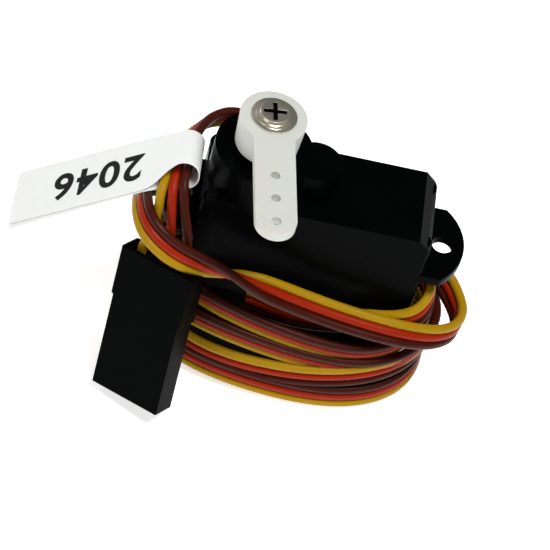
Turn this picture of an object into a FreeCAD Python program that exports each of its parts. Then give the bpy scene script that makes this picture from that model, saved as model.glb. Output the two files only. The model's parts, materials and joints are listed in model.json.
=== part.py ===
"""A slim micro servo motor with its lead wound round the case, in millimetres.

The origin is on the output axis at the base of the case. +Z is up along the
output axis, +X points to the motor end and -Y to the side that the horn points to.
"""
import FreeCAD, Part
import math
import os
import re

doc = FreeCAD.newDocument("ServoMotor")
sheet = doc.addObject("Spreadsheet::Sheet", "Sheet")

# Driving dimensions: (alias, value). Each alias is read as Sheet.alias.
SIZES = (
    # case
    ("case_back", 4.75), ("case_long", 22.0), ("case_wide", 9.0), ("wall", 0.75), ("corner_round", 0.45),
    ("base_top", 3.8), ("floor_thick", 0.8), ("deck_top", 17.2), ("deck_thick", 1.0), ("cover_top", 21.8),
    ("roof_thick", 0.9), ("end_chamfer", 1.25),
    ("lug_thick", 0.9), ("lug_reach", 3.7), ("lug_curve", 6.1), ("lug_hole", 1.03), ("lug_hole_out", 1.6),
    ("rib_half", 0.35), ("rib_deep", 1.4),
    ("turret_wide", 4.7), ("turret_top", 25.3), ("turret_room", 4.15), ("turret_roof", 23.2),
    ("axle_turret_wide", 2.43), ("axle_turret_top", 24.9), ("axle_turret_room", 1.88),
    ("axle_turret_roof", 23.6),
    ("column_in", 1.1), ("column_wide", 1.05), ("screw_shank", 0.45), ("screw_head", 0.8),
    ("screw_sink", 0.7), ("screw_slot", 0.12), ("screw_top", 19.4),
    # places along X of the three gear axes and the motor
    ("axle_near", 5.1), ("axle_far", 8.9), ("motor_place", 12.8), ("pin_near", 0.4), ("pin_far", 0.35),
    # motor
    ("can_wide", 3.6), ("can_wall", 0.4), ("can_base", 4.6), ("can_front", 0.7), ("cap_base", 3.6),
    ("magnet_wide", 1.9), ("magnet_hole", 0.75), ("magnet_base", 5.9), ("coil_wide", 2.8),
    ("coil_wall", 0.55), ("coil_base", 5.1), ("coil_floor", 5.7), ("coil_top", 15.0),
    ("commutator_wide", 0.8), ("rotor_pin", 0.4),
    ("rotor_base", 4.05), ("rotor_top", 18.35), ("bush_round", 1.0), ("run_gap", 0.04),
    ("brush_in", 0.85), ("brush_out", 1.9), ("brush_half", 0.3), ("brush_top", 5.0), ("tab_place", 2.0),
    # output shaft, bearings and potentiometer
    ("stem_wide", 0.9), ("stem_base", 12.4), ("shoulder_wide", 1.5), ("shoulder_base", 20.9),
    ("journal_wide", 2.3), ("journal_base", 22.55), ("spline_wide", 2.0), ("spline_base", 25.9),
    ("spline_top", 28.4), ("spline_groove", 0.16), ("shaft_gap", 0.05), ("bearing_wide", 3.2),
    ("bearing_tall", 1.4), ("bush_wide", 1.6), ("bush_top", 19.05),
    ("pot_wide", 3.5), ("pot_base", 11.2), ("pot_top", 16.2), ("pot_wall", 0.5), ("pot_hole", 1.3),
    ("track_in", 1.6), ("track_out", 2.9), ("wiper_wide", 2.6), ("pot_wire", 0.3), ("pot_wire_step", 1.4),
    # horn and its screw
    ("hub_base", 26.0), ("hub_low", 3.0), ("hub_high", 3.2), ("horn_top", 29.6), ("arm_thick", 0.9),
    ("arm_half", 1.93), ("arm_long", 12.5), ("arm_turn", 6.9), ("arm_hole", 0.45), ("arm_hole_out", 12.75),
    ("arm_hole_step", 2.75),
    ("arm_rib_half", 0.4), ("arm_rib_in", 2.6), ("arm_rib_out", 2.0), ("arm_rib_deep", 0.6),
    ("washer_wide", 2.18), ("washer_thick", 0.2), ("step_wide", 1.75), ("step_thick", 0.15),
    ("head_wide", 1.4), ("head_thick", 0.55), ("cross_long", 1.1), ("cross_half", 0.22), ("cross_deep", 0.5),
    ("screw_pin", 0.8), ("pin_base", 24.8),
    # circuit board
    ("board_base", 2.0), ("board_thick", 0.6), ("board_left", 2.5), ("board_right", 15.0),
    ("chip_thick", 0.8),
    # lead, and the hood on the front wall that it comes out of
    ("lead_wide", 1.4), ("wire_wide", 0.9), ("wire_step", 0.92), ("wire_place", 0.7), ("wire_turn", 2.9),
    ("hood_back", 3.4), ("hood_front", 1.6), ("hood_slope", 1.2), ("hood_out", 1.35), ("hood_low", 8.2),
    ("hood_high", 11.3), ("hood_skin", 0.35), ("neck_back", 2.35), ("neck_front", 0.95), ("neck_skin", 0.25),
    ("wind_base", 0.6), ("wind_top", 12.6), ("wind_left", 9.1), ("wind_right", 22.2), ("wind_half", 8.5),
    ("wind_round", 8.0), ("wind_in_left", 6.15), ("wind_in_right", 18.2), ("wind_gap", 0.35),
    # connector: its width, length and thickness, its pins and how it leans
    ("plug_wide", 7.6), ("plug_long", 15.0), ("plug_thick", 2.5), ("collar_long", 5.3), ("collar_side", 0.25),
    ("pin_pitch", 2.54), ("plug_yaw", -31.1), ("plug_tilt", -10.8), ("plug_lean", 72.2),
    ("way_wide", 2.0), ("way_thick", 1.7), ("way_start", 2.0), ("pin_window", 0.9), ("barrel_start", 8.8),
    # label
    ("label_long", 17.7), ("label_wide", 6.8), ("label_thick", 0.25), ("label_fold", 1.6),
)
for row, (alias, value) in enumerate(SIZES, start=1):
    sheet.set(f"A{row}", alias)
    sheet.set(f"B{row}", str(value))
    sheet.setAlias(f"B{row}", alias)
doc.recompute()
S = {alias: sheet.get(alias) for alias, _ in SIZES}

LEAD_ROUTE = (  # from the winding's top, up behind the case and through the label, towards the connector
    (16.2, 6.7, 13.4), (12.6, 7.1, 14.9), (8.4, 7.0, 16.9), (3.6, 7.2, 19.2), (-1.3, 6.9, 21.6),
    (-4.9, 4.9, 23.3), (-6.3, 2.2, 23.75), (-6.85, -4.7, 23.5),
)
PLUG_CORNER = (-10.87, -11.6, 0.9)  # the connector's lowest front corner
LABEL_MIDDLE = (-6.67, -0.85, 23.2)  # on the axis of the label's sleeve
LABEL_ALONG = (0.03, 0.999, 0.02)  # the direction of that axis
LABEL_DOWN = (-0.7794, 0.0359, -0.6255)  # the way that the label's tail hangs


def bind(item, **formulas):
    """Bind an object's sizes to formulas of the sheet's aliases; two underscores stand for a dot."""
    for name, formula in formulas.items():
        text = re.sub(r"[a-z][a-z_]+", lambda word: "Sheet." + word.group(0), str(formula))
        item.setExpression(name.replace("__", "."), text)
    return item


def block(x, y, z):
    """A box between the two formulas of each pair."""
    item = doc.addObject("Part::Box", "Block")
    for name, (low, high) in zip(("Length", "Width", "Height"), (x, y, z)):
        bind(item, **{name: f"({high})-({low})"})
    return bind(item, Placement__Base__x=x[0], Placement__Base__y=y[0], Placement__Base__z=z[0])


def rod(wide, low, high, x="0", y="0"):
    """An upright cylinder of radius wide between two heights."""
    item = doc.addObject("Part::Cylinder", "Rod")
    bind(item, Radius=wide, Height=f"({high})-({low})")
    return bind(item, Placement__Base__x=x, Placement__Base__y=y, Placement__Base__z=low)


def fused(*items):
    if len(items) == 1:
        return items[0]
    item = doc.addObject("Part::MultiFuse", "Fused")
    item.Shapes = list(items)
    item.Refine = True
    return item


def cut(base, *tools):
    item = doc.addObject("Part::Cut", "Cut")
    item.Base = base
    item.Tool = fused(*tools)
    item.Refine = True
    return item


def common(first, second):
    item = doc.addObject("Part::Common", "Common")
    item.Base = first
    item.Tool = second
    return item


def group(*items):
    item = doc.addObject("Part::Compound", "Group")
    item.Links = list(items)
    return item


def ring(wide, hole, low, high, x="0", y="0"):
    return cut(rod(wide, low, high, x, y), rod(hole, f"{low}-1", f"{high}+1", x, y))


def round_block(x, y, z, corner):
    """A block whose four upright edges are rounded to the radius corner."""
    rods = [rod(corner, z[0], z[1], f"{a}{s}({corner})", f"{b}{t}({corner})")
            for a, s in ((x[0], "+"), (x[1], "-")) for b, t in ((y[0], "+"), (y[1], "-"))]
    long = block((f"{x[0]}+({corner})", f"{x[1]}-({corner})"), y, z)
    wide = block(x, (f"{y[0]}+({corner})", f"{y[1]}-({corner})"), z)
    return fused(long, wide, *rods)


nodes = {}


def node(label, item):
    """Name a finished sub-part."""
    item.Label = label
    nodes[label] = item
    return item


def shape_node(label, shape):
    item = doc.addObject("Part::Feature", label)
    item.Shape = shape
    item.Placement = FreeCAD.Placement()
    return node(label, item)


# ---------------------------------------------------------------- case
LEFT, RIGHT = "-case_back", "case_long-case_back"
FRONT, BACK = "-case_wide/2", "case_wide/2"
INSIDE_X = (f"{LEFT}+wall", f"{RIGHT}-wall")
INSIDE_Y = (f"{FRONT}+wall", f"{BACK}-wall")
HOOD_Z = ("hood_low", "hood_high")
NECK_X, NECK_Z = ("(-neck_back)", "neck_front"), ("hood_low+0.05", "hood_high-0.05")
CORNERS = [(x, y) for x in (f"{LEFT}+column_in", f"{RIGHT}-column_in")
           for y in (f"{FRONT}+column_in", f"{BACK}-column_in")]


def case_block(low, high):
    return round_block((LEFT, RIGHT), (FRONT, BACK), (low, high), "corner_round")


def columns(wide, low, high):
    return [rod(wide, low, high, x, y) for x, y in CORNERS]


def make_bottom_cover():
    """The tray that closes the case below, with board ledges and screw columns."""
    tray = cut(case_block("0", "base_top"), block(INSIDE_X, INSIDE_Y, ("floor_thick", "base_top+1")))
    ledges = [block((f"{x}-0.3", f"{x}+0.3"), INSIDE_Y, ("floor_thick-0.1", "board_base"))
              for x in ("1.2-board_left", "board_right-1.4")]
    solid = fused(tray, *ledges, *columns("column_wide", "floor_thick-0.1", "base_top"))
    holes = columns("screw_shank+0.05", "-1", "base_top+1") + columns("screw_head+0.05", "-1", "screw_sink")
    return node("bottom_cover", cut(solid, *holes))


def make_case_middle():
    """The main shell: four walls with the lead's window, the deck under the gears, and the two lugs."""
    room = block(INSIDE_X, INSIDE_Y, ("base_top-1", "deck_top-deck_thick"))
    shell = cut(case_block("base_top", "deck_top"), room)
    lugs, holes = [], []
    for side, end in (("-", LEFT), ("", RIGHT)):
        inner = "lug_curve-lug_reach"
        centre = f"{end}+({inner})" if side else f"{end}-({inner})"
        strip_x = (f"{end}-lug_reach-1", f"{end}+wall") if side else (f"{end}-wall", f"{end}+lug_reach+1")
        strip = block(strip_x, (FRONT, BACK), ("deck_top-lug_thick", "deck_top"))
        lugs.append(common(strip, rod("lug_curve", "deck_top-lug_thick-1", "deck_top+1", centre)))
        hole_x = f"{end}-lug_hole_out" if side else f"{end}+lug_hole_out"
        holes.append(rod("lug_hole", "deck_top-lug_thick-1", "deck_top+1", hole_x))
    ribs = [block((f"{x}-rib_half", f"{x}+rib_half"), ("-rib_half", "rib_half"),
                  ("deck_top-lug_thick-rib_deep", "deck_top-0.1"))
            for x in (f"{LEFT}-0.1", f"{RIGHT}+0.1")]
    solid = fused(shell, *lugs, *ribs, *columns("column_wide", "base_top", "deck_top-0.1"))
    deck = "deck_top-deck_thick"
    holes += [
        rod("bush_wide", f"{deck}-1", "deck_top+1"),
        rod("pin_near", f"{deck}-1", "deck_top+1", "axle_near"),
        rod("pin_far", f"{deck}-1", "deck_top+1", "axle_far"),
        rod("bush_round+0.2", f"{deck}-1", "deck_top+1", "motor_place"),
        block(NECK_X, (f"{FRONT}-1", f"{FRONT}+wall+1"), NECK_Z),
    ]
    return node("case_middle", cut(solid, *holes, *columns("screw_shank+0.05", "base_top-1", "deck_top+1")))


def make_gearbox_cover():
    """The top shell over the gear train, with the output turret and the smaller turret of the near axle."""
    outside = case_block("deck_top", "cover_top")
    slopes = []
    for x in (LEFT, RIGHT):
        edge = doc.addObject("Part::Box", "EndChamfer")
        edge.Placement.Rotation = FreeCAD.Rotation(FreeCAD.Vector(0, 1, 0), 45)
        side = "end_chamfer*1.41421"
        bind(edge, Length=side, Width="case_wide+2", Height=side, Placement__Base__y=f"{FRONT}-1")
        slopes.append(bind(edge, Placement__Base__x=f"{x}-end_chamfer", Placement__Base__z="cover_top"))
    room = block(INSIDE_X, INSIDE_Y, ("deck_top-1", "cover_top-roof_thick"))
    box = fused(cut(outside, room, *slopes), *columns("column_wide", "deck_top", "cover_top-roof_thick"))
    turrets = [rod("turret_wide", "cover_top-roof_thick", "turret_top"),
               rod("axle_turret_wide", "cover_top-roof_thick", "axle_turret_top", "axle_near")]
    spaces = [
        rod("turret_room", "deck_top", "turret_roof"),
        rod("axle_turret_room", "deck_top", "axle_turret_roof", "axle_near"),
        rod("bearing_wide", "turret_roof-0.1", "turret_roof+bearing_tall"),
        rod("journal_wide+0.1", "turret_roof", "turret_top+1"),
        rod("pin_near", "axle_turret_roof-0.1", "axle_turret_roof+0.5", "axle_near"),
        rod("pin_far", "cover_top-roof_thick-0.1", "cover_top-roof_thick+0.45", "axle_far"),
    ]
    holes = columns("screw_shank", "deck_top-1", "screw_top")
    body = fused(box, *turrets)
    return node("gearbox_cover", cut(body, *spaces, *holes))


def make_case_screws():
    """Four long screws that go in from below, through both lower shells and into the cover's columns."""
    screws = []
    for x, y in CORNERS:
        slot = block((f"{x}-1", f"{x}+1"), (f"{y}-screw_slot", f"{y}+screw_slot"), ("-1", "0.3"))
        screws.append(cut(fused(rod("screw_shank", "0.05", "screw_top", x, y),
                                rod("screw_head", "0.05", "screw_sink", x, y)), slot))
    return node("case_screws", group(*screws))


# ---------------------------------------------------------------- motor
def make_motor():
    """The motor's fixed pieces: can, front bush, magnet, end cap, two brushes and two terminals."""
    place = "motor_place"
    front = "deck_top-deck_thick"
    can = cut(rod("can_wide", "can_base", front, place),
              rod("can_wide-can_wall", "can_base-1", f"{front}-can_front", place),
              rod("bush_round", "can_base", f"{front}+1", place))
    node("motor_can", can)
    node("motor_bush", ring("bush_round", "rotor_pin+run_gap", f"{front}-can_front", front, place))
    node("motor_magnet", ring("magnet_wide", "magnet_hole", "magnet_base", f"{front}-can_front", place))
    cap = cut(rod("can_wide", "cap_base", "can_base", place),
              rod("rotor_pin+run_gap", "rotor_base-0.05", "can_base+1", place))
    node("motor_end_cap", cap)
    brushes = [block((f"{place}+{low}", f"{place}+{high}"), ("-brush_half", "brush_half"),
                     ("can_base", "brush_top"))
               for low, high in (("brush_in", "brush_out"), ("(-brush_out)", "(-brush_in)"))]
    node("motor_brushes", group(*brushes))
    tabs = [block((f"{place}-0.3", f"{place}+0.3"), (f"{y}-0.4", f"{y}+0.4"),
                  ("board_base+board_thick", "cap_base"))
            for y in ("(-tab_place)", "tab_place")]
    node("motor_terminals", group(*tabs))


def make_rotor():
    """The motor's turning pieces: the coil cup, the commutator and the shaft."""
    place = "motor_place"
    cup = cut(rod("coil_wide", "coil_base", "coil_top", place),
              rod("coil_wide-coil_wall", "coil_floor", "coil_top+1", place),
              rod("rotor_pin", "coil_base-0.1", "coil_floor+0.3", place))
    node("rotor_coil", cup)
    node("rotor_commutator", ring("commutator_wide", "rotor_pin", "can_base+0.02", "coil_base", place))
    node("rotor_shaft", rod("rotor_pin", "rotor_base", "rotor_top", place))


# ---------------------------------------------------------------- gears
ADDENDUM, DEDENDUM = 0.8, 1.05  # tooth height above and below the pitch circle, in modules
ROOT_SHARE, PITCH_SHARE, TIP_SHARE = 0.60, 0.40, 0.17  # tooth width as a share of the pitch, at three radii


def wheel(teeth, module, low, high, place, first):
    """A spur gear with straight-sided teeth; one tooth is centred on the angle first, in radians."""
    pitch = teeth * module / 2
    step = 2 * math.pi / teeth
    root, tip = pitch - DEDENDUM * module, pitch + ADDENDUM * module
    outline = ((root, -ROOT_SHARE), (pitch, -PITCH_SHARE), (tip, -TIP_SHARE),
               (tip, TIP_SHARE), (pitch, PITCH_SHARE), (root, ROOT_SHARE))
    points = []
    for tooth in range(teeth):
        middle = first + tooth * step
        for radius, share in outline:
            angle = middle + share * step / 2
            points.append(FreeCAD.Vector(place + radius * math.cos(angle), radius * math.sin(angle), low))
    face = Part.Face(Part.makePolygon(points + points[:1]))
    return face.extrude(FreeCAD.Vector(0, 0, high - low))


def upright(radius, low, high, place):
    return Part.makeCylinder(radius, high - low, FreeCAD.Vector(place, 0, low))


FINE, COARSE = 0.2, 0.3  # the two modules, in millimetres
LEVELS = {  # the lowest and highest point of each toothed wheel
    "pinion": (17.45, 18.2), "first_wheel": (17.45, 18.15), "first_pinion": (18.15, 19.1),
    "second_wheel": (18.3, 19.0), "second_pinion": (19.0, 19.9), "third_wheel": (19.15, 19.85),
    "third_pinion": (19.85, 20.8), "fourth_wheel": (20.0, 20.7), "fourth_pinion": (20.7, 22.6),
    "output_wheel": (21.0, 22.55),
}
BORE_GAP = 0.04  # between a gear's bore and its axle pin


def make_gears():
    """Five meshes on three axes: each follows the one before it, and every pair is in mesh at rest."""
    near, far, motor = S["axle_near"], S["axle_far"], S["motor_place"]
    left = math.pi  # the angle that faces -X

    def gear(label, place, bore, *wheels):
        solid = wheels[0]
        for other in wheels[1:]:
            solid = solid.fuse(other)
        shape_node(label, solid.cut(upright(bore, 0, 30, place)).removeSplitter())

    gear("motor_pinion", motor, S["rotor_pin"],
         wheel(9, FINE, *LEVELS["pinion"], motor, left + left / 9))
    gear("gear_first", far, S["pin_far"] + BORE_GAP,
         wheel(30, FINE, *LEVELS["first_wheel"], far, 0),
         wheel(10, FINE, *LEVELS["first_pinion"], far, left + left / 10))
    gear("gear_second", near, S["pin_near"] + BORE_GAP,
         wheel(28, FINE, *LEVELS["second_wheel"], near, 0),
         wheel(17, FINE, *LEVELS["second_pinion"], near, left + left / 17))
    gear("gear_third", 0, S["stem_wide"] + S["shaft_gap"],
         wheel(34, FINE, *LEVELS["third_wheel"], 0, 0),
         wheel(20, FINE, *LEVELS["third_pinion"], 0, left / 20))
    gear("gear_fourth", near, S["pin_near"] + BORE_GAP,
         wheel(31, FINE, *LEVELS["fourth_wheel"], near, left),
         wheel(9, COARSE, *LEVELS["fourth_pinion"], near, left + left / 9))
    gear("output_gear", 0, S["shoulder_wide"],
         wheel(25, COARSE, *LEVELS["output_wheel"], 0, 0))
    node("axle_pin_near", rod("pin_near", "deck_top-deck_thick+0.1", "axle_turret_roof+0.45", "axle_near"))
    node("axle_pin_far", rod("pin_far", "deck_top-deck_thick+0.1", "cover_top-roof_thick+0.4", "axle_far"))


# ---------------------------------------------------------------- output shaft
def make_output():
    """The output shaft: a stem down to the potentiometer, a shoulder for its gear, a journal, the spline."""
    splines = 21
    stages = (("stem_wide", "stem_base", "shoulder_base"), ("shoulder_wide", "shoulder_base", "journal_base"),
              ("journal_wide", "journal_base", "spline_base"), ("spline_wide", "spline_base", "spline_top"))
    solid = None
    for wide, low, high in stages:
        stage = upright(S[wide], S[low], S[high], 0)
        solid = solid.fuse(stage) if solid else stage
    for count in range(splines):
        angle = 2 * math.pi * count / splines
        groove = upright(S["spline_groove"], S["spline_base"], S["spline_top"] + 1, 0)
        groove.translate(S["spline_wide"] * FreeCAD.Vector(math.cos(angle), math.sin(angle), 0))
        solid = solid.cut(groove)
    solid = solid.cut(upright(S["screw_pin"], S["pin_base"] - 0.6, S["horn_top"], 0))
    shape_node("output_shaft", solid.removeSplitter())
    bearing_z = ("turret_roof", "turret_roof+bearing_tall")
    node("output_bearing", ring("bearing_wide", "journal_wide+shaft_gap", *bearing_z))
    node("lower_bush", ring("bush_wide", "stem_wide+shaft_gap", "deck_top-deck_thick", "bush_top"))


def make_potentiometer():
    """The potentiometer round the shaft's stem: its case, track and wiper, and three leads to the board."""
    shell = cut(rod("pot_wide", "pot_base", "pot_top"),
                rod("pot_wide-pot_wall", "pot_base+pot_wall+0.1", "pot_top-pot_wall"),
                rod("pot_hole", "pot_top-1", "pot_top+1"))
    node("potentiometer_case", shell)
    track_low = "pot_base+pot_wall+0.1"
    node("potentiometer_track", ring("track_out", "track_in", track_low, f"{track_low}+0.25"))
    finger = block(("track_in+0.1", "wiper_wide-0.1"), ("-0.4", "0.4"), ("pot_base+0.9", "pot_base+1.6"))
    disc = cut(fused(rod("wiper_wide", "pot_base+1.5", "pot_base+2.5"), finger), rod("stem_wide", "0", "30"))
    node("potentiometer_wiper", disc)
    wires = [rod("pot_wire", "board_base+board_thick", "pot_base", f"{way}*pot_wire_step", "(-2)")
             for way in ("(-1)", "0", "1")]
    node("potentiometer_leads", group(*wires))


# ---------------------------------------------------------------- horn
def make_horn():
    """A single-arm horn: a tapered hub on the spline and a flat arm with three link holes."""
    body = doc.addObject("PartDesign::Body", "Horn")
    hub = body.newObject("PartDesign::AdditiveCone", "Hub")
    bind(hub, Radius1="hub_low", Radius2="hub_high", Height="horn_top-hub_base",
         Placement__Base__z="hub_base")
    arm = body.newObject("PartDesign::AdditiveBox", "Arm")
    bind(arm, Length="2*arm_half", Width="arm_long", Height="arm_thick", Placement__Base__x="-arm_half",
         Placement__Base__y="-arm_long", Placement__Base__z="horn_top-arm_thick")
    tip = body.newObject("PartDesign::AdditiveCylinder", "Tip")
    bind(tip, Radius="arm_half", Height="arm_thick", Placement__Base__y="-arm_long",
         Placement__Base__z="horn_top-arm_thick")
    rib = body.newObject("PartDesign::AdditiveBox", "Rib")
    bind(rib, Length="2*arm_rib_half", Width="arm_long-arm_rib_in-arm_rib_out", Height="arm_rib_deep+0.1",
         Placement__Base__x="-arm_rib_half", Placement__Base__y="-arm_long+arm_rib_out",
         Placement__Base__z="horn_top-arm_thick-arm_rib_deep")
    for step in range(3):
        hole = body.newObject("PartDesign::SubtractiveCylinder", f"LinkHole{step}")
        bind(hole, Radius="arm_hole", Height="6", Placement__Base__y=f"-arm_hole_out+{step}*arm_hole_step",
             Placement__Base__z="horn_top-5")
    socket = body.newObject("PartDesign::SubtractiveCylinder", "SplineSocket")
    bind(socket, Radius="spline_wide+0.05", Height="spline_top+0.1-hub_base+1",
         Placement__Base__z="hub_base-1")
    pin_hole = body.newObject("PartDesign::SubtractiveCylinder", "ScrewHole")
    bind(pin_hole, Radius="screw_pin+0.1", Height="9", Placement__Base__z="hub_base")
    bind(body, Placement__Rotation__Angle="arm_turn")
    return node("servo_horn", body)


def make_horn_screw():
    """The pan-head screw with its stepped washer face and cross recess; it turns with the horn."""
    top = "horn_top+washer_thick+head_thick"
    solid = fused(rod("screw_pin", "pin_base", "horn_top+0.1"),
                  rod("washer_wide", "horn_top", "horn_top+washer_thick"),
                  rod("step_wide", "horn_top+washer_thick", "horn_top+washer_thick+step_thick"),
                  rod("head_wide", "horn_top+washer_thick", top))
    long, short = ("-cross_long", "cross_long"), ("-cross_half", "cross_half")
    cross = [block(x, y, (f"{top}-cross_deep", f"{top}+1")) for x, y in ((long, short), (short, long))]
    screw = cut(solid, *cross)
    bind(screw, Placement__Rotation__Angle="arm_turn")
    return node("horn_screw", screw)


# ---------------------------------------------------------------- electronics
def make_board():
    """The circuit board with a control chip above, a driver chip below and four capacitors."""
    top = "board_base+board_thick"
    board_y = (f"{INSIDE_Y[0]}+0.1", f"{INSIDE_Y[1]}-0.1")
    node("circuit_board", block(("(-board_left)", "board_right"), board_y, ("board_base", top)))
    node("control_chip", block(("3.2", "6.8"), ("-1.8", "1.8"), (top, f"{top}+chip_thick")))
    node("driver_chip", block(("5.2", "8"), ("-1.4", "1.4"), ("board_base-chip_thick", "board_base")))
    places = (("2", "(-2.6)"), ("2", "2.6"), ("8.1", "(-2.4)"), ("8.1", "2.4"))
    parts = [block((f"{x}-0.5", f"{x}+0.5"), (f"{y}-0.3", f"{y}+0.3"), (top, f"{top}+0.5"))
             for x, y in places]
    node("board_capacitors", group(*parts))


def make_lead_entry():
    """The rubber hood on the front wall that turns the lead along the case, and the wires to the board."""
    low, high = S["hood_low"], S["hood_high"]
    wall = -S["case_wide"] / 2
    out = wall - S["hood_out"]
    outline = [FreeCAD.Vector(x, y, low) for x, y in (
        (-S["hood_back"], wall), (-S["hood_back"] + S["hood_slope"], out), (S["hood_front"], out),
        (S["hood_front"], wall), (-S["hood_back"], wall))]
    hood = doc.addObject("Part::Feature", "Hood")
    hood.Shape = Part.Face(Part.makePolygon(outline)).extrude(FreeCAD.Vector(0, 0, high - low))
    neck = block(NECK_X, (f"{FRONT}-0.1", f"{FRONT}+wall"), NECK_Z)
    channel = block(("neck_skin-neck_back", "hood_front+1"), (f"{FRONT}-hood_out+hood_skin", FRONT),
                    ("hood_low+0.2", "hood_high-0.2"))
    throat = block(("neck_skin-neck_back", "neck_front-neck_skin"), (f"{FRONT}-0.2", f"{FRONT}+wall+1"),
                   ("hood_low+0.2", "hood_high-0.4"))
    node("lead_grommet", cut(fused(hood, neck), channel, throat))
    level = (low + high) / 2
    wires = []
    for turn in (-1, 0, 1):
        x = turn * S["wire_step"] - S["wire_place"]
        corner = FreeCAD.Vector(x, -S["wire_turn"], level)
        radius = S["wire_wide"] / 2
        across = Part.makeCylinder(radius, S["case_wide"] / 2 - S["wire_turn"], corner,
                                   FreeCAD.Vector(0, -1, 0))
        down = Part.makeCylinder(radius, level - S["board_base"] - S["board_thick"], corner,
                                 FreeCAD.Vector(0, 0, -1))
        wires.append(across.fuse(down).fuse(Part.makeSphere(radius, corner)).removeSplitter())
    shape_node("lead_wire_ends", Part.makeCompound(wires))


# ---------------------------------------------------------------- lead, connector and label
def tube(points, diameter):
    """A round tube along straight runs joined by tangent arcs, each as large as its two runs allow."""
    corners = [FreeCAD.Vector(*point) for point in points]
    edges, start = [], corners[0]
    for before, corner, after in zip(corners, corners[1:], corners[2:]):
        arrive, leave = (corner - before), (after - corner)
        shorter = min(arrive.Length, leave.Length)
        turn = arrive.getAngle(leave)
        reach = 0.45 * shorter
        radius = reach / math.tan(turn / 2)
        entry = corner - arrive.normalize() * reach
        exit_point = corner + leave.normalize() * reach
        middle_way = (exit_point - corner).normalize() + (entry - corner).normalize()
        crown = corner + middle_way.normalize() * (math.hypot(radius, reach) - radius)
        edges += [Part.LineSegment(start, entry).toShape(), Part.Arc(entry, crown, exit_point).toShape()]
        start = exit_point
        print(f"lead radius {radius:.1f} mm, turn {math.degrees(turn):.0f} degrees")
    edges.append(Part.LineSegment(start, corners[-1]).toShape())
    path = Part.Wire(edges)
    profile = Part.Wire(Part.makeCircle(diameter / 2, corners[0], corners[1] - corners[0]))
    solid = path.makePipeShell([profile], True, True)
    expected = math.pi * diameter ** 2 / 4 * path.Length
    print(f"lead tube: {path.Length:.1f} mm long, volume {solid.Volume:.2f} of {expected:.2f} mm3")
    return solid


def plug_place():
    """Where the connector stands: its lowest corner just above the surface, leaning back on the winding."""
    turn = FreeCAD.Rotation(S["plug_yaw"], S["plug_tilt"], S["plug_lean"])
    return FreeCAD.Placement(FreeCAD.Vector(*PLUG_CORNER), turn)


def make_winding():
    """The wound part of the lead as one closed ring round the case, below the lugs, clear of the hood."""
    height = ("wind_base", "wind_top")
    outer = round_block(("(-wind_left)", "wind_right"), ("(-wind_half)", "wind_half"), height, "wind_round")
    inner = block(("(-wind_in_left)", "wind_in_right"), (f"{FRONT}-wind_gap", f"{BACK}+wind_gap"),
                  ("wind_base-1", "wind_top+1"))
    pocket = block(("(-hood_back)", "hood_front"), (f"{FRONT}-hood_out", FRONT), HOOD_Z)
    node("lead_winding", cut(outer, inner, pocket))


def bar(middle, wide, thick, low, high):
    """A box round the connector's pin line through middle, between two places along local Y."""
    corner = middle + FreeCAD.Vector(-wide / 2, low, -thick / 2)
    return Part.makeBox(wide, high - low, thick, corner)


def make_connector():
    """A three-way socket housing: local X is its width, Y its length up to the wires, Z faces out."""
    place = plug_place()
    wide, long, thick = S["plug_wide"], S["plug_long"], S["plug_thick"]
    back = -thick
    side = S["collar_side"]
    housing = Part.makeBox(wide, long, thick, FreeCAD.Vector(0, 0, back))
    collar = Part.makeBox(wide + 2 * side, S["collar_long"], thick,
                          FreeCAD.Vector(-side, long - S["collar_long"], back))
    solid = housing.fuse(collar).removeSplitter()
    contacts = []
    for way in (-1, 0, 1):
        middle = FreeCAD.Vector(wide / 2 + way * S["pin_pitch"], 0, back / 2)
        solid = solid.cut(bar(middle, S["way_wide"], S["way_thick"], S["way_start"], long + 1))
        solid = solid.cut(bar(middle, S["pin_window"], S["pin_window"], -1, S["way_start"] + 1))
        start, end = S["way_start"] + 0.3, S["barrel_start"]
        shell = bar(middle, S["way_wide"] - 0.3, S["way_thick"] - 0.3, start, end)
        shell = shell.cut(bar(middle, S["way_wide"] - 0.9, S["way_thick"] - 0.8, start - 1, end - 0.5))
        barrel = Part.makeCylinder(S["wire_wide"] / 2, long - end, middle + FreeCAD.Vector(0, end - 0.1, 0),
                                   FreeCAD.Vector(0, 1, 0))
        contacts.append(shell.fuse(barrel).removeSplitter())
    for shape, label in ((solid, "connector_housing"), (Part.makeCompound(contacts), "connector_contacts")):
        item = doc.addObject("Part::Feature", label)
        item.Shape = shape
        item.Placement = place
        node(label, item)
    return place.multVec(FreeCAD.Vector(wide / 2, long, back / 2))


def make_label():
    """A folded tape flag: a sleeve round the lead and a flat tail that hangs down to the left."""
    along = FreeCAD.Vector(*LABEL_ALONG).normalize()
    down = FreeCAD.Vector(*LABEL_DOWN)
    across = along.cross(down).normalize()
    down = across.cross(along)
    wide, thick, fold = S["label_wide"], S["label_thick"], S["label_fold"]
    x, y, z = LABEL_MIDDLE
    place = FreeCAD.Placement(FreeCAD.Matrix(
        down.x, across.x, along.x, x, down.y, across.y, along.y, y, down.z, across.z, along.z, z, 0, 0, 0, 1))
    sleeve = Part.makeCylinder(fold + thick, wide, FreeCAD.Vector(0, 0, -wide / 2))
    sleeve = sleeve.cut(Part.makeCylinder(fold, wide + 2, FreeCAD.Vector(0, 0, -wide / 2 - 1)))
    tail = Part.makeBox(S["label_long"], 2 * thick, wide, FreeCAD.Vector(fold + thick / 2, -thick, -wide / 2))
    item = doc.addObject("Part::Feature", "label_flag")
    item.Shape = sleeve.fuse(tail).removeSplitter()
    item.Placement = place
    node("label_flag", item)


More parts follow.
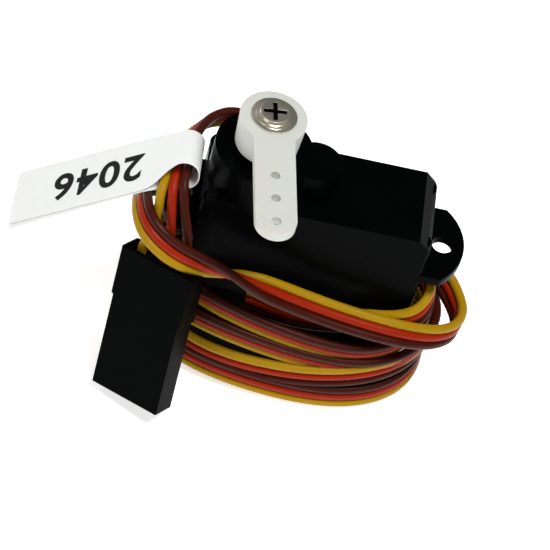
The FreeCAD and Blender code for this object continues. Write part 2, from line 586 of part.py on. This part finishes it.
make_bottom_cover()
make_case_middle()
make_gearbox_cover()
make_case_screws()
make_motor()
make_rotor()
make_gears()
make_output()
make_potentiometer()
make_horn()
make_horn_screw()
make_board()
make_lead_entry()
make_winding()
plug_mouth = make_connector()
shape_node("lead_tail", tube(LEAD_ROUTE + (tuple(plug_mouth),), S["lead_wide"]))
make_label()
doc.recompute()

for thing in doc.Objects:
    if "Invalid" in thing.State or "Error" in thing.State:
        raise RuntimeError(f"{thing.Name} ({thing.Label}) failed: {thing.State}")
os.makedirs("parts", exist_ok=True)
for label, item in nodes.items():
    if item.Shape.isNull() or not item.Shape.isValid() or not item.Shape.Solids:
        raise RuntimeError(f"{label} has no valid shape")
    item.Shape.exportStep(f"parts/{label}.step")
    box = item.Shape.BoundBox
    print(f"{label}: {len(item.Shape.Solids)} solid(s), {item.Shape.Volume:.2f} mm3, "
          f"x {box.XMin:.2f}..{box.XMax:.2f} y {box.YMin:.2f}..{box.YMax:.2f} "
          f"z {box.ZMin:.2f}..{box.ZMax:.2f}")
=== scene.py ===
import json
import math

import bpy
from mathutils import Matrix, Vector


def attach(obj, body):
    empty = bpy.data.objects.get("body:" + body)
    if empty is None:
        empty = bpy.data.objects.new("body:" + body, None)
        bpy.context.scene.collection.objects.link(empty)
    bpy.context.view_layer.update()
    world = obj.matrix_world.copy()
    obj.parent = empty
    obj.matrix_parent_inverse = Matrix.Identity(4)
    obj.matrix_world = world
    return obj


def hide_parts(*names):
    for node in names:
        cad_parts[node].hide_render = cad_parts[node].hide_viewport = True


# The servo motor's looks. The CAD pieces get materials and rounded edges, and three pieces are made here:
# the lead with its three wires, the label folded round it, and the number printed on the label.

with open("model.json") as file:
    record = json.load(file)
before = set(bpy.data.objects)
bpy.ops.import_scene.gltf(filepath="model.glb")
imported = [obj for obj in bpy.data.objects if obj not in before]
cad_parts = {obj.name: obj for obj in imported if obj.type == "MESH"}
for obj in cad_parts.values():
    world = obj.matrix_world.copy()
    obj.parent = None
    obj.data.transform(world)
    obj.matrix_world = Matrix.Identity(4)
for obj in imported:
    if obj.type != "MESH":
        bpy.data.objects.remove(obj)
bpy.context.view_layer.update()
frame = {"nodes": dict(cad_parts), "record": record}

MM = 0.001
UP = Vector((0, 0, 1))
scene = bpy.context.scene


# ---------------------------------------------------------------- small helpers
def mm(x, y, z):
    """A point given in millimetres."""
    return Vector((x, y, z)) * MM


def mix(low, high, share):
    """The value at a share of the way from low to high."""
    return low + (high - low) * share


def eased(share):
    """A share, kept from 0 to 1, that starts and ends gently."""
    share = min(1, max(0, share))
    return share * share * (3 - 2 * share)


def new_object(name, data):
    """A new object of this data, in the scene."""
    made = bpy.data.objects.new(name, data)
    scene.collection.objects.link(made)
    return made


def mesh_piece(name, vertices, faces, paints=None, materials=()):
    """A new smooth mesh object of these faces; paints holds one material index per face."""
    data = bpy.data.meshes.new(name)
    data.from_pydata([tuple(vertex) for vertex in vertices], [], faces)
    for paint in materials:
        data.materials.append(paint)
    for index, polygon in enumerate(data.polygons):
        polygon.use_smooth = True
        if paints:
            polygon.material_index = paints[index]
    data.update()
    return new_object(name, data)


def turned_to_mesh(item):
    """The mesh that a curve or text object draws; the object itself is taken away."""
    bpy.context.view_layer.update()
    mesh = bpy.data.meshes.new_from_object(item.evaluated_get(bpy.context.evaluated_depsgraph_get()))
    bpy.data.objects.remove(item)
    return mesh


# ---------------------------------------------------------------- camera
AZIMUTH, ELEVATION, ROLL = math.radians(-7.06), math.radians(48.2), math.radians(17.05)
TARGET = mm(4.4, 0, 8.08)  # the point that the camera and the lights face
DISTANCE = 404.5 * MM
SENSOR, LENS = 36, 275.4  # mm

back = Vector((math.sin(AZIMUTH) * math.cos(ELEVATION), -math.cos(AZIMUTH) * math.cos(ELEVATION),
               math.sin(ELEVATION)))
level_right = Vector((math.cos(AZIMUTH), math.sin(AZIMUTH), 0))
level_up = back.cross(level_right)
right = level_right * math.cos(ROLL) + level_up * math.sin(ROLL)
top = level_up * math.cos(ROLL) - level_right * math.sin(ROLL)

camera_data = bpy.data.cameras.new("camera")
camera_data.sensor_width = SENSOR
camera_data.lens = LENS
camera_data.clip_start = 10 * MM
camera = new_object("camera", camera_data)
facing = Matrix((right, top, back)).transposed().to_4x4()
camera.matrix_world = Matrix.Translation(TARGET + back * DISTANCE) @ facing
scene.camera = camera

# ---------------------------------------------------------------- material helpers
BUMP_DEPTH = 0.05  # mm
CLOUD_DETAIL, GRAIN_DETAIL = 3, 4  # how finely the two noises are broken up


def linear(value):
    """Linear light, from 0 to 1, of a 0 to 255 value of a colour chart."""
    share = value / 255
    return share / 12.92 if share <= 0.04045 else ((share + 0.055) / 1.055) ** 2.4


def srgb(red, green, blue):
    """A linear colour from the 0 to 255 values of a colour chart."""
    return (linear(red), linear(green), linear(blue), 1)


def material(name, colour, roughness=0.5, grain=0.0, grain_size=0.5, mottle=0.0, mottle_size=3.0,
             rough_vary=0.1, **constants):
    """A Principled material whose colour and roughness vary a little, with a fine bump.

    Sizes are in mm. The constants are set on the shader's own sockets, named with underscores for spaces.
    """
    made = bpy.data.materials.new(name)
    made.use_nodes = True
    nodes, links = made.node_tree.nodes, made.node_tree.links
    shader = nodes["Principled BSDF"]
    for socket, value in constants.items():
        shader.inputs[socket.replace("_", " ")].default_value = value
    place = nodes.new("ShaderNodeTexCoord")

    def noise(size, detail):
        item = nodes.new("ShaderNodeTexNoise")
        item.inputs["Scale"].default_value = 1 / (size * MM)
        item.inputs["Detail"].default_value = detail
        links.new(place.outputs["Object"], item.inputs["Vector"])
        return item

    cloud = noise(mottle_size, CLOUD_DETAIL)
    tint = nodes.new("ShaderNodeMix")
    tint.data_type = "RGBA"
    tint.inputs["A"].default_value = tuple(max(0, part * (1 - mottle)) for part in colour[:3]) + (1,)
    tint.inputs["B"].default_value = tuple(min(1, part * (1 + mottle)) for part in colour[:3]) + (1,)
    links.new(cloud.outputs["Fac"], tint.inputs["Factor"])
    links.new(tint.outputs["Result"], shader.inputs["Base Color"])
    spread = nodes.new("ShaderNodeMapRange")
    spread.inputs["To Min"].default_value = max(0.02, roughness - rough_vary)
    spread.inputs["To Max"].default_value = min(1, roughness + rough_vary)
    links.new(cloud.outputs["Fac"], spread.inputs["Value"])
    links.new(spread.outputs["Result"], shader.inputs["Roughness"])
    if grain:
        fine = noise(grain_size, GRAIN_DETAIL)
        bump = nodes.new("ShaderNodeBump")
        bump.inputs["Strength"].default_value = grain
        bump.inputs["Distance"].default_value = BUMP_DEPTH * MM
        links.new(fine.outputs["Fac"], bump.inputs["Height"])
        links.new(bump.outputs["Normal"], shader.inputs["Normal"])
    return made


# ---------------------------------------------------------------- lead: sizes and route
YELLOW, RED, BROWN = srgb(170, 131, 4), srgb(156, 34, 4), srgb(64, 17, 4)
wire_paint = [material(f"insulation_{name}", colour, 0.4, grain=0.25, grain_size=0.6, mottle=0.12,
                       mottle_size=4, Specular_IOR_Level=0.15)
              for name, colour in (("brown", BROWN), ("red", RED), ("yellow", YELLOW))]

# a wire's diameter, and how far apart the wires' axes are in the ribbon and in the connector, in mm
WIRE_WIDE, WIRE_STEP, PIN_STEP = 0.92, 0.88, 2.54
WIRE_SIDES = 12  # sides of a wire's tube
# how far apart the wires' axes are where this much of the lead is left before its end, both in mm
SPREAD = ((0, PIN_STEP), (1.1, PIN_STEP), (3.4, 1.85), (6.6, 1.25), (9.5, 1.0), (13.0, WIRE_STEP))

# the first run along the front wall, from the hood round the right end: x, y, z in mm and the ribbon's roll
# in degrees
FIRST_RUN = (
    (0.6, -5.05, 9.8, 8), (1.9, -5.1, 9.8, 8), (3.8, -5.35, 9.5, 8), (6.6, -5.6, 9.2, 8), (9.8, -5.7, 9.6, 8),
    (13.0, -5.6, 10.6, 8), (16.0, -5.7, 11.3, 8), (18.2, -5.0, 12.4, 8), (18.9, -3.2, 13.6, 8),
    (18.3, -1.2, 14.1, 8), (17.8, 0.8, 14.2, 8), (17.75, 3.0, 14.1, 8), (17.4, 4.9, 14.0, 10),
    (15.6, 5.8, 13.9, 12),
)
TURN_POINTS = 16  # control points on each turn
MIDDLE_X, ROUNDNESS = 7.5, 2.2  # a turn is a superellipse: its middle in mm, and its exponent
FIRST_RUN_SHARE = 0.68  # the share of the first turn that the first run already covers
# turns round the case: how far left, right, to the front and to the back each reaches, then its height at
# the left, front left, front right, right, back right and back left, all in mm
TURNS = (
    ((-8.2, 19.4, -6.0, 5.9), (11.0, 10.0, 11.0, 14.0, 13.9, 12.6)),
    ((-8.2, 19.6, -8.0, 6.4), (11.0, 10.0, 7.3, 8.8, 8.6, 8.2)),
    ((-9.3, 20.6, -8.0, 7.5), (7.6, 7.3, 5.4, 6.6, 6.2, 5.8)),
    ((-8.2, 20.2, -8.35, 6.4), (5.2, 3.3, 4.7, 5.6, 4.6, 3.6)),
    ((-8.6, 20.1, -8.5, 8.2), (2.8, 2.0, 1.5, 2.2, 4.5, 9.0)),
)
HEIGHTS_PER_TURN = 6
# how far left the last of them ends, and the heights that it heads for
END_LEFT, END_HEIGHTS = -9.8, (16.0, 19.6)
# the ribbon's roll in degrees after this many turns
ROLLS = (
    (0.5, 8), (0.6, 8), (0.9, 167), (2.0, 168), (2.92, 170), (3.12, 2), (3.55, 2), (3.9, 180), (5.0, 190),
)
# the outermost turn, then the way up behind the case, in the same form as the first run
LAST_TURN = (
    (-10.0, 0.4, 16.4, 200), (-10.15, -1.6, 18.0, 202), (-10.15, -3.7, 19.1, 205), (-9.9, -5.8, 19.5, 208),
    (-9.1, -7.5, 19.4, 210), (-7.9, -8.4, 18.9, 210), (-6.2, -8.8, 18.0, 205), (-4.0, -8.6, 17.0, 190),
    (-1.9, -8.2, 16.3, 160), (0.6, -7.9, 15.5, 110), (3.6, -7.6, 14.3, 60), (7, -7.2, 13.0, 45),
    (10.6, -7.1, 12.1, 45), (14.2, -7.0, 11.5, 40), (17.4, -6.6, 10.9, 30), (20.2, -5.4, 10.0, 12),
    (22.0, -3.6, 9.3, 0), (22.6, -1.3, 8.9, -12), (21.9, 0.9, 8.9, -22), (20.6, 2.7, 9.3, -28),
    (19.3, 4.5, 9.2, -25), (18.2, 6.1, 8.6, -10),
)
WAY_UP = (
    (16.9, 7.3, 9.9, 20), (14.4, 7.6, 12.3, 65), (11.4, 7.4, 14.8, 112), (8.0, 7.1, 16.7, 155),
    (3.6, 7.2, 18.5, 176), (-0.6, 7.4, 20.3, 180), (-3.2, 7.0, 21.2, 186), (-5.0, 5.9, 21.4, 198),
    (-6.2, 4.3, 21.5, 210), (-6.8, 2.6, 21.45, 214),
)
# through the label and down to the connector: x, y, z in mm, and the direction from the brown wire to the
# yellow one
WAY_DOWN = (
    ((-7.1, -0.2, 21.8), (-0.8, 0.1, -0.58)), ((-7.8, -4.6, 22.85), (-0.82, 0.0, -0.56)),
    ((-7.1, -6.4, 19.4), (-0.98, 0.2, -0.05)), ((-6.75, -6.7, 17.3), (-0.9, 0.4, -0.15)),
    ((-6.92, -7.24, 15.27), (-0.841, 0.507, -0.188)), ((-6.93, -7.59, 14.33), (-0.841, 0.507, -0.188)),
)


# ---------------------------------------------------------------- lead: its line and its wires
def smooth_at(values, place):
    """The value at a place between evenly spaced values, on a smooth curve through all of them."""
    index = min(int(place), len(values) - 2)
    share = place - index
    a, b, c, d = (values[min(max(index + shift, 0), len(values) - 1)] for shift in (-1, 0, 1, 2))
    return b + 0.5 * share * (c - a + share * (2 * a - 5 * b + 4 * c - d + share * (3 * (b - c) + d - a)))


def along(keys, place):
    """The value at a place between (place, value) keys."""
    for (start, low), (end, high) in zip(keys, keys[1:]):
        if place <= end:
            return low + (high - low) * max(0, place - start) / (end - start)
    return keys[-1][1]


def winding():
    """The control points of the turns round the case, each with its roll, from the end of the first run."""
    heights = [height for _, row in TURNS for height in row] + list(END_HEIGHTS)
    lefts = [reach[0] for reach, _ in TURNS] + [END_LEFT]
    points = []
    for turn, ((left, right_end, front, rear), _) in enumerate(TURNS):
        for step in range(TURN_POINTS):
            share = step / TURN_POINTS
            if turn == 0 and share < FIRST_RUN_SHARE:
                continue
            cosine, sine = math.cos(2 * math.pi * share), math.sin(2 * math.pi * share)
            side = right_end if cosine < 0 else (left if sine > 0 else lefts[turn + 1])
            x = MIDDLE_X + abs(cosine) ** (2 / ROUNDNESS) * (side - MIDDLE_X)
            y = abs(sine) ** (2 / ROUNDNESS) * (front if sine > 0 else rear)
            height = smooth_at(heights, HEIGHTS_PER_TURN * (turn + share))
            points.append((x, y, height, along(ROLLS, turn + share)))
    return points


def rolled(points):
    """Points with a roll in degrees become pairs: the point, and the brown-to-yellow direction there."""
    places = [Vector(point[:3]) for point in points]
    pairs = []
    for index, point in enumerate(points):
        before, after = places[max(index - 1, 0)], places[min(index + 1, len(places) - 1)]
        run = (after - before).normalized()
        inward = UP.cross(run).normalized()
        turn = math.radians(point[3])
        pairs.append((places[index], math.cos(turn) * run.cross(inward) + math.sin(turn) * inward))
    return pairs


def centre_line(controls):
    """The points, in metres, of a smooth line that these control points in mm steer."""
    data = bpy.data.curves.new("lead_line", "CURVE")
    data.dimensions = "3D"
    spline = data.splines.new("NURBS")
    spline.points.add(len(controls) - 1)
    for point, place in zip(spline.points, controls):
        point.co = (*(place * MM), 1)
    spline.order_u = 3
    spline.use_endpoint_u = True
    spline.resolution_u = 8
    mesh = turned_to_mesh(new_object("lead_line", data))
    points = [vertex.co.copy() for vertex in mesh.vertices]
    bpy.data.meshes.remove(mesh)
    return points


route = rolled(list(FIRST_RUN) + winding() + list(LAST_TURN) + list(WAY_UP))
route += [(Vector(place), Vector(across)) for place, across in WAY_DOWN]
centre = centre_line([place for place, _ in route])


def across_at(share):
    """The brown-to-yellow direction at a share of the line, weighted as the line weights its controls."""
    place = share * (len(route) - 2)
    index = min(int(place), len(route) - 3)
    part = place - index
    weights = (0.5 * (1 - part) ** 2, 0.5 + part - part * part, 0.5 * part * part)
    return sum((weight * route[index + shift][1] for shift, weight in enumerate(weights)), Vector())


def ribbon_axes():
    """For each point of the centre line, the directions across the ribbon and out of it."""
    last = len(centre) - 1
    axes = []
    for index in range(len(centre)):
        run = (centre[min(index + 1, last)] - centre[max(index - 1, 0)]).normalized()
        across = across_at(index / last)
        across = (across - run * across.dot(run)).normalized()
        axes.append((across, run.cross(across)))
    return axes


def wires():
    """The three insulated wires as tubes round lines beside the ribbon's centre line, and their length."""
    lengths = [0]
    for before, after in zip(centre, centre[1:]):
        lengths.append(lengths[-1] + (after - before).length)
    angles = [2 * math.pi * side / WIRE_SIDES for side in range(WIRE_SIDES)]
    axes = ribbon_axes()
    vertices, faces, paints = [], [], []
    for wire in range(3):
        first_ring = len(vertices)
        for point, (across, rise), length in zip(centre, axes, lengths):
            offset = (wire - 1) * along(SPREAD, (lengths[-1] - length) / MM) * MM
            middle = point + across * offset
            for angle in angles:
                outward = across * math.cos(angle) + rise * math.sin(angle)
                vertices.append(middle + outward * WIRE_WIDE / 2 * MM)
        last_ring = len(vertices) - WIRE_SIDES
        for ring in range(first_ring, last_ring, WIRE_SIDES):
            for side in range(WIRE_SIDES):
                a, b = ring + side, ring + (side + 1) % WIRE_SIDES
                faces.append((a, b, b + WIRE_SIDES, a + WIRE_SIDES))
                paints.append(wire)
        faces.append(tuple(first_ring + side for side in reversed(range(WIRE_SIDES))))
        faces.append(tuple(last_ring + side for side in range(WIRE_SIDES)))
        paints += [wire, wire]
    return vertices, faces, paints, lengths[-1]


wire_vertices, wire_faces, wire_paints, lead_length = wires()
lead = mesh_piece("servo_lead", wire_vertices, wire_faces, wire_paints, wire_paint)

# ---------------------------------------------------------------- label: sizes and place
LABEL_WIDE, LABEL_LONG, LABEL_THICK = 6.8, 19.3, 0.12  # mm
LABEL_MIDDLE = mm(-6.67, -0.85, 23.4)
LABEL_ALONG = Vector((0.03, 0.999, 0.02)).normalized()  # along the lead, from the label's front to its rear
slope = Vector((-0.7794, 0.0359, -0.6255)).normalized()
LABEL_DOWN = (slope - LABEL_ALONG * slope.dot(LABEL_ALONG)).normalized()  # from the fold to the loose ends
LABEL_OUT = LABEL_ALONG.cross(LABEL_DOWN)
# the fold round the lead is an arc: its radius, and how far down and out its centre lies, in mm, each at the
# tape's front edge and at its rear edge, as the lead bends between the two
FOLD_RADIUS, FOLD_DOWN, FOLD_OUT = (1.3, 1.35), (0, 1.3), (0.05, -1.45)
LOOP_FROM, LOOP_TO, LOOP_STEP = 75, 285, 15  # the part of the arc that the tape covers, in degrees
BACK_FROM, BACK_TO = 150, 270  # where on the arc the front layer turns into the back one, in degrees
RISE_START = 4.2  # mm below the fold, where the tape begins to lift towards it
DRAWN_IN = 0.8  # mm by which the front layer is pulled in at the front end of the fold
ASKEW, ASKEW_FROM = math.radians(1.6), 2  # the back layer's turn, from this many mm down
LAYER_GAP = 0.03  # mm of air between the two layers
LABEL_STEPS, LABEL_COLUMNS = 16, 11  # points down each flat layer, and across the tape
PRINT_DOWN, PRINT_LIFT = 9.9, 0.02  # mm from the fold to the print's middle, and from the tape up to it

label_paint = material("label_tape", srgb(247, 247, 245), 0.45, grain=0.15, grain_size=0.8, mottle=0.02,
                       Subsurface_Weight=0.1, Subsurface_Scale=0.3 * MM)
print_paint = material("label_print", srgb(10, 10, 12), 0.6, mottle=0.1, Specular_IOR_Level=0.2)


# ---------------------------------------------------------------- label: the folded tape and its print
# "rear" is a place across the tape, from 0 at its front edge to 1 at its rear edge
def fold_point(angle, rear):
    """(down, out), in mm, at an angle on the fold."""
    radius = mix(*FOLD_RADIUS, rear)
    turn = math.radians(angle)
    return (mix(*FOLD_DOWN, rear) + radius * math.cos(turn), mix(*FOLD_OUT, rear) + radius * math.sin(turn))


def label_point(down, out, sideways, layer):
    """A point of the label in space; the back layer, layer 1, is a little askew, so that its edge shows."""
    rear = sideways / LABEL_WIDE + 0.5
    drawn_in = DRAWN_IN * (1 - rear) ** 2 * eased((RISE_START - down) / RISE_START) * (1 - layer)
    sideways += drawn_in - math.sin(ASKEW) * max(0, down - ASKEW_FROM) * layer
    return LABEL_MIDDLE + (LABEL_DOWN * down + LABEL_OUT * out + LABEL_ALONG * sideways) * MM


def front_out(down, rear):
    """How far the front layer stands out of the label's plane."""
    start_down, start_out = fold_point(LOOP_FROM, rear)
    return start_out * eased((RISE_START - down) / (RISE_START - start_down))


def back_out(down, rear):
    """How far the back layer stands out of the label's plane."""
    start_down, start_out = fold_point(LOOP_TO, rear)
    return mix(-LABEL_THICK - LAYER_GAP, start_out, eased((RISE_START - down) / (RISE_START - start_down)))


def label_column(rear):
    """(down, out, layer) along the tape, from the front layer's loose end round the fold to the back's."""
    column = []
    for step in range(LABEL_STEPS):
        down = mix(LABEL_LONG, fold_point(LOOP_FROM, rear)[0], step / LABEL_STEPS)
        column.append((down, front_out(down, rear), 0))
    for angle in range(LOOP_FROM, LOOP_TO + 1, LOOP_STEP):
        column.append((*fold_point(angle, rear), eased((angle - BACK_FROM) / (BACK_TO - BACK_FROM))))
    for step in range(1, LABEL_STEPS + 1):
        down = mix(fold_point(LOOP_TO, rear)[0], LABEL_LONG, step / LABEL_STEPS)
        column.append((down, back_out(down, rear), 1))
    return column


def make_label():
    """The folded tape as one sheet with thickness."""
    rears = [index / (LABEL_COLUMNS - 1) for index in range(LABEL_COLUMNS)]
    rows = list(zip(*(label_column(rear) for rear in rears)))
    vertices = [label_point(down, out, LABEL_WIDE * (rear - 0.5), layer)
                for row in rows for rear, (down, out, layer) in zip(rears, row)]
    faces = []
    for row in range(len(rows) - 1):
        for column in range(LABEL_COLUMNS - 1):
            corner = row * LABEL_COLUMNS + column
            faces.append((corner, corner + 1, corner + 1 + LABEL_COLUMNS, corner + LABEL_COLUMNS))
    piece = mesh_piece("label_tape_flag", vertices, faces, materials=(label_paint,))
    thick = piece.modifiers.new("thickness", "SOLIDIFY")
    thick.thickness = LABEL_THICK * MM
    thick.offset = 0
    smooth = piece.modifiers.new("smooth", "SUBSURF")
    smooth.levels = smooth.render_levels = 1
    smooth.boundary_smooth = "PRESERVE_CORNERS"
    return piece


def make_print():
    """A plain number on the label's front, drawn flat in mm, then laid on the tape as a thin raised mesh."""
    text = bpy.data.curves.new("label_number", "FONT")
    text.body = "2046"
    text.size = 4.5
    text.align_x, text.align_y = "CENTER", "CENTER"
    text.extrude = 0.01
    text.offset = 0.1
    text.space_character = 1.12
    data = turned_to_mesh(new_object("label_number", text))
    for vertex in data.vertices:
        down, sideways = PRINT_DOWN + vertex.co.x, -vertex.co.y
        lift = LABEL_THICK / 2 + PRINT_LIFT + vertex.co.z
        out = front_out(down, sideways / LABEL_WIDE + 0.5) + lift
        vertex.co = label_point(down, out, sideways, 0)
    data.materials.clear()
    data.materials.append(print_paint)
    return new_object("label_number", data)


label = make_label()
number = make_print()
number.parent = label

# ---------------------------------------------------------------- what the new pieces are
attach(lead, "case")
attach(label, "case")
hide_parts("lead_winding", "lead_tail")
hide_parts("label_flag")

# ---------------------------------------------------------------- the CAD pieces' materials
slot_paint = {
    "case_plastic": material("case_plastic", srgb(3, 4, 4), 0.27, grain=0.1, grain_size=0.25, mottle=0.2,
                             rough_vary=0.05, Specular_IOR_Level=0.02),
    "screw_steel": material("screw_steel", srgb(190, 190, 192), 0.35, grain=0.1, Metallic=1.0),
    "motor_steel": material("motor_steel", srgb(196, 196, 196), 0.3, grain=0.1, Metallic=1.0),
    "bush_bronze": material("bush_bronze", srgb(196, 150, 96), 0.4, grain=0.2, Metallic=1.0),
    "magnet": material("magnet", srgb(96, 96, 100), 0.45, grain=0.2, Metallic=0.7),
    "cap_plastic": material("cap_plastic", srgb(58, 58, 60), 0.55, grain=0.2),
    "coil_copper": material("coil_copper", srgb(205, 120, 70), 0.35, grain=0.5, grain_size=0.3, Metallic=1.0),
    "gear_brass": material("gear_brass", srgb(214, 180, 110), 0.3, grain=0.1, mottle=0.08, Metallic=1.0),
    "gear_nylon": material("gear_nylon", srgb(232, 230, 220), 0.45, grain=0.1, Subsurface_Weight=0.2,
                           Subsurface_Scale=0.5 * MM),
    "pot_track": material("pot_track", srgb(40, 40, 42), 0.6, grain=0.3),
    "lead_wire": wire_paint[1],  # the red one
    "horn_nylon": material("horn_nylon", srgb(213, 215, 208), 0.38, grain=0.15, grain_size=0.4, mottle=0.03,
                           Subsurface_Weight=0.3, Subsurface_Scale=0.8 * MM),
    "screw_nickel": material("screw_nickel", srgb(236, 230, 214), 0.3, grain=0.04, grain_size=0.2,
                             mottle=0.08, Metallic=1.0),
    "board_green": material("board_green", srgb(40, 110, 70), 0.4, grain=0.2, mottle=0.1),
    "chip_black": material("chip_black", srgb(40, 40, 42), 0.6, grain=0.3),
    "capacitor": material("capacitor", srgb(186, 160, 126), 0.5, grain=0.2),
    "rubber": material("rubber", srgb(10, 10, 10), 0.6, grain=0.3, grain_size=0.4, Specular_IOR_Level=0.15),
    "connector_plastic": material("connector_plastic", srgb(3, 4, 4), 0.27, grain=0.1, grain_size=0.3,
                                  mottle=0.2, Specular_IOR_Level=0.02),
    "contact_gold": material("contact_gold", srgb(226, 190, 110), 0.25, grain=0.1, Metallic=1.0),
    "label_tape": label_paint,
}


def paint_recess_shade(paint, screw, reach, below):
    """Paint shade, nearly black, into a material near a screw's axis, where its recess lies; reach and the
    depth below its top are in mm.
    """
    corners = [vertex.co for vertex in screw.data.vertices]
    centre_x, centre_y = ((min(corner[i] for corner in corners) + max(corner[i] for corner in corners)) / 2
                          for i in (0, 1))
    level = max(corner.z for corner in corners) - below * MM
    nodes, links = paint.node_tree.nodes, paint.node_tree.links
    shader = nodes["Principled BSDF"]
    place = nodes.new("ShaderNodeTexCoord")
    parts = nodes.new("ShaderNodeSeparateXYZ")
    links.new(place.outputs["Object"], parts.inputs["Vector"])

    def math_node(operation, first, second):
        """The output of a node that works on two numbers or sockets."""
        item = nodes.new("ShaderNodeMath")
        item.operation = operation
        for socket, value in zip(item.inputs, (first, second)):
            if isinstance(value, float):
                socket.default_value = value
            else:
                links.new(value, socket)
        return item.outputs[0]

    east = math_node("SUBTRACT", parts.outputs["X"], centre_x)
    north = math_node("SUBTRACT", parts.outputs["Y"], centre_y)
    squared = math_node("ADD", math_node("MULTIPLY", east, east), math_node("MULTIPLY", north, north))
    inside = math_node("LESS_THAN", squared, (reach * MM) ** 2)
    dark = math_node("MULTIPLY", inside, math_node("LESS_THAN", parts.outputs["Z"], level))
    blend = nodes.new("ShaderNodeMix")
    blend.data_type = "RGBA"
    # painted shade: the near-black colour of the screw's shaded cross recess
    blend.inputs["B"].default_value = srgb(22, 20, 17)
    links.new(dark, blend.inputs["Factor"])
    links.new(shader.inputs["Base Color"].links[0].from_socket, blend.inputs["A"])
    links.new(blend.outputs["Result"], shader.inputs["Base Color"])


# paints shade into the horn screw's cross recess
paint_recess_shade(slot_paint["screw_nickel"], frame["nodes"]["horn_screw"], reach=1.25, below=0.06)

# ---------------------------------------------------------------- the CAD pieces' edges
ROUNDED = {  # edge rounding in mm
    "bottom_cover": 0.12, "case_middle": 0.12, "gearbox_cover": 0.16, "servo_horn": 0.16, "horn_screw": 0.1,
    "connector_housing": 0.14, "lead_grommet": 0.15,
}
WELD_REACH = 0.002  # mm, within which doubled vertices are joined
SHARP = math.radians(38)  # the least angle between two faces whose edge is rounded


def round_edges(item, width):
    """Modifiers that join a piece's faces and round its sharp edges by this many mm."""
    weld = item.modifiers.new("weld", "WELD")
    weld.merge_threshold = WELD_REACH * MM
    bevel = item.modifiers.new("edges", "BEVEL")
    bevel.width = width * MM
    bevel.segments = 3
    bevel.limit_method = "ANGLE"
    bevel.angle_limit = SHARP
    bevel.harden_normals = False
    normals = item.modifiers.new("normals", "WEIGHTED_NORMAL")
    normals.keep_sharp = False


for part in frame["record"]["subparts"]:
    node = frame["nodes"][part["node"]]
    node.data.materials.clear()
    node.data.materials.append(slot_paint[part["material_slot"]])
    if part["node"] in ROUNDED:
        round_edges(node, ROUNDED[part["node"]])

# ---------------------------------------------------------------- floor and light
FLOOR_HALF = 3  # metres
floor_paint = material("floor_white", (0.92, 0.92, 0.92, 1), 0.9, Specular_IOR_Level=0.1,
                       Emission_Color=(1, 1, 1, 1), Emission_Strength=0.68)
floor_corners = [(x * FLOOR_HALF, y * FLOOR_HALF, 0) for x, y in ((-1, -1), (1, -1), (1, 1), (-1, 1))]
floor = mesh_piece("floor", floor_corners, [(0, 1, 2, 3)], materials=(floor_paint,))

scene.world = bpy.data.worlds.new("studio")
scene.world.use_nodes = True
surroundings = scene.world.node_tree.nodes["Background"]
surroundings.inputs["Color"].default_value = (1, 1, 1, 1)
surroundings.inputs["Strength"].default_value = 0.12
scene.view_settings.view_transform = "Standard"


def soft_light(name, place, size, energy):
    """A square soft light that faces the servo; its place and size are in metres, its energy in watts."""
    data = bpy.data.lights.new(name, "AREA")
    data.size = size
    data.energy = energy
    item = new_object(name, data)
    item.location = place
    item.rotation_euler = (TARGET - Vector(place)).to_track_quat("-Z", "Y").to_euler()


soft_light("key", (0.12, -0.12, 0.6), 0.2, 3.0)
soft_light("fill", (-0.45, -0.35, 0.35), 0.35, 0.65)
soft_light("rear", (-0.32, 0.42, 0.38), 0.3, 0.7)
